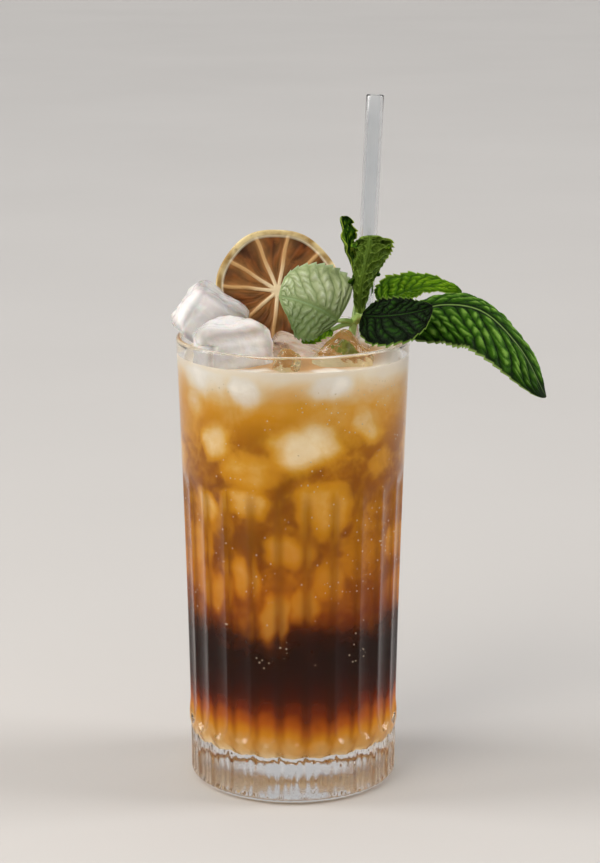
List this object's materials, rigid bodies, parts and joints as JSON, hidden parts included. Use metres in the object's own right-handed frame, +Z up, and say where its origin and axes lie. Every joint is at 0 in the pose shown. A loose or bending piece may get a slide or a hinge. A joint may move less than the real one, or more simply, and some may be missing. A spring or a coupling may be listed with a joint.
{
  "type": "iced tea cocktail in a highball glass",
  "caption": "Tall fluted highball glass of iced tea cocktail with ice, a clear straw, a dried citrus wheel and a mint sprig.",
  "frame": {"origin": "centre of the glass's underside, where it stands on a table", "axes": "+Z up, -Y the front that the picture shows, +X to the picture's right, where the large mint leaf hangs over the rim"},
  "size_m": [0.1283, 0.08, 0.2377],
  "materials": {
    "clear_glass": "clear pressed glass with a polished surface",
    "drink": "clear amber liquid, nearly black low down and cloudy near the top",
    "straw_glass": "clear drawn glass with fire-polished ends",
    "dried_citrus": "dried citrus, brown pulp, cream membranes and a pale yellow rind",
    "ice": "cloudy ice, melted smooth and wet",
    "mint_stem": "fresh green stem",
    "mint_leaf": "fresh mint leaf, puckered, with toothed edges"
  },
  "bodies": {
    "root": {"glass": "clear_glass", "drink": "drink", "straw": "straw_glass", "citrus_wheel": "dried_citrus", "mint_stem": "mint_stem", "ice_left_top": "ice", "ice_left_front": "ice", "ice_middle": "ice", "ice_right_front": "ice", "ice_front_chip": "ice", "ice_back_left": "ice", "ice_back_right": "ice", "mint_leaf_left": "mint_leaf", "mint_leaf_upright": "mint_leaf", "mint_leaf_curl": "mint_leaf", "mint_leaf_back": "mint_leaf", "mint_leaf_front": "mint_leaf", "mint_leaf_right": "mint_leaf", "mint_leaf_small": "mint_leaf"}
  },
  "joints": []
}
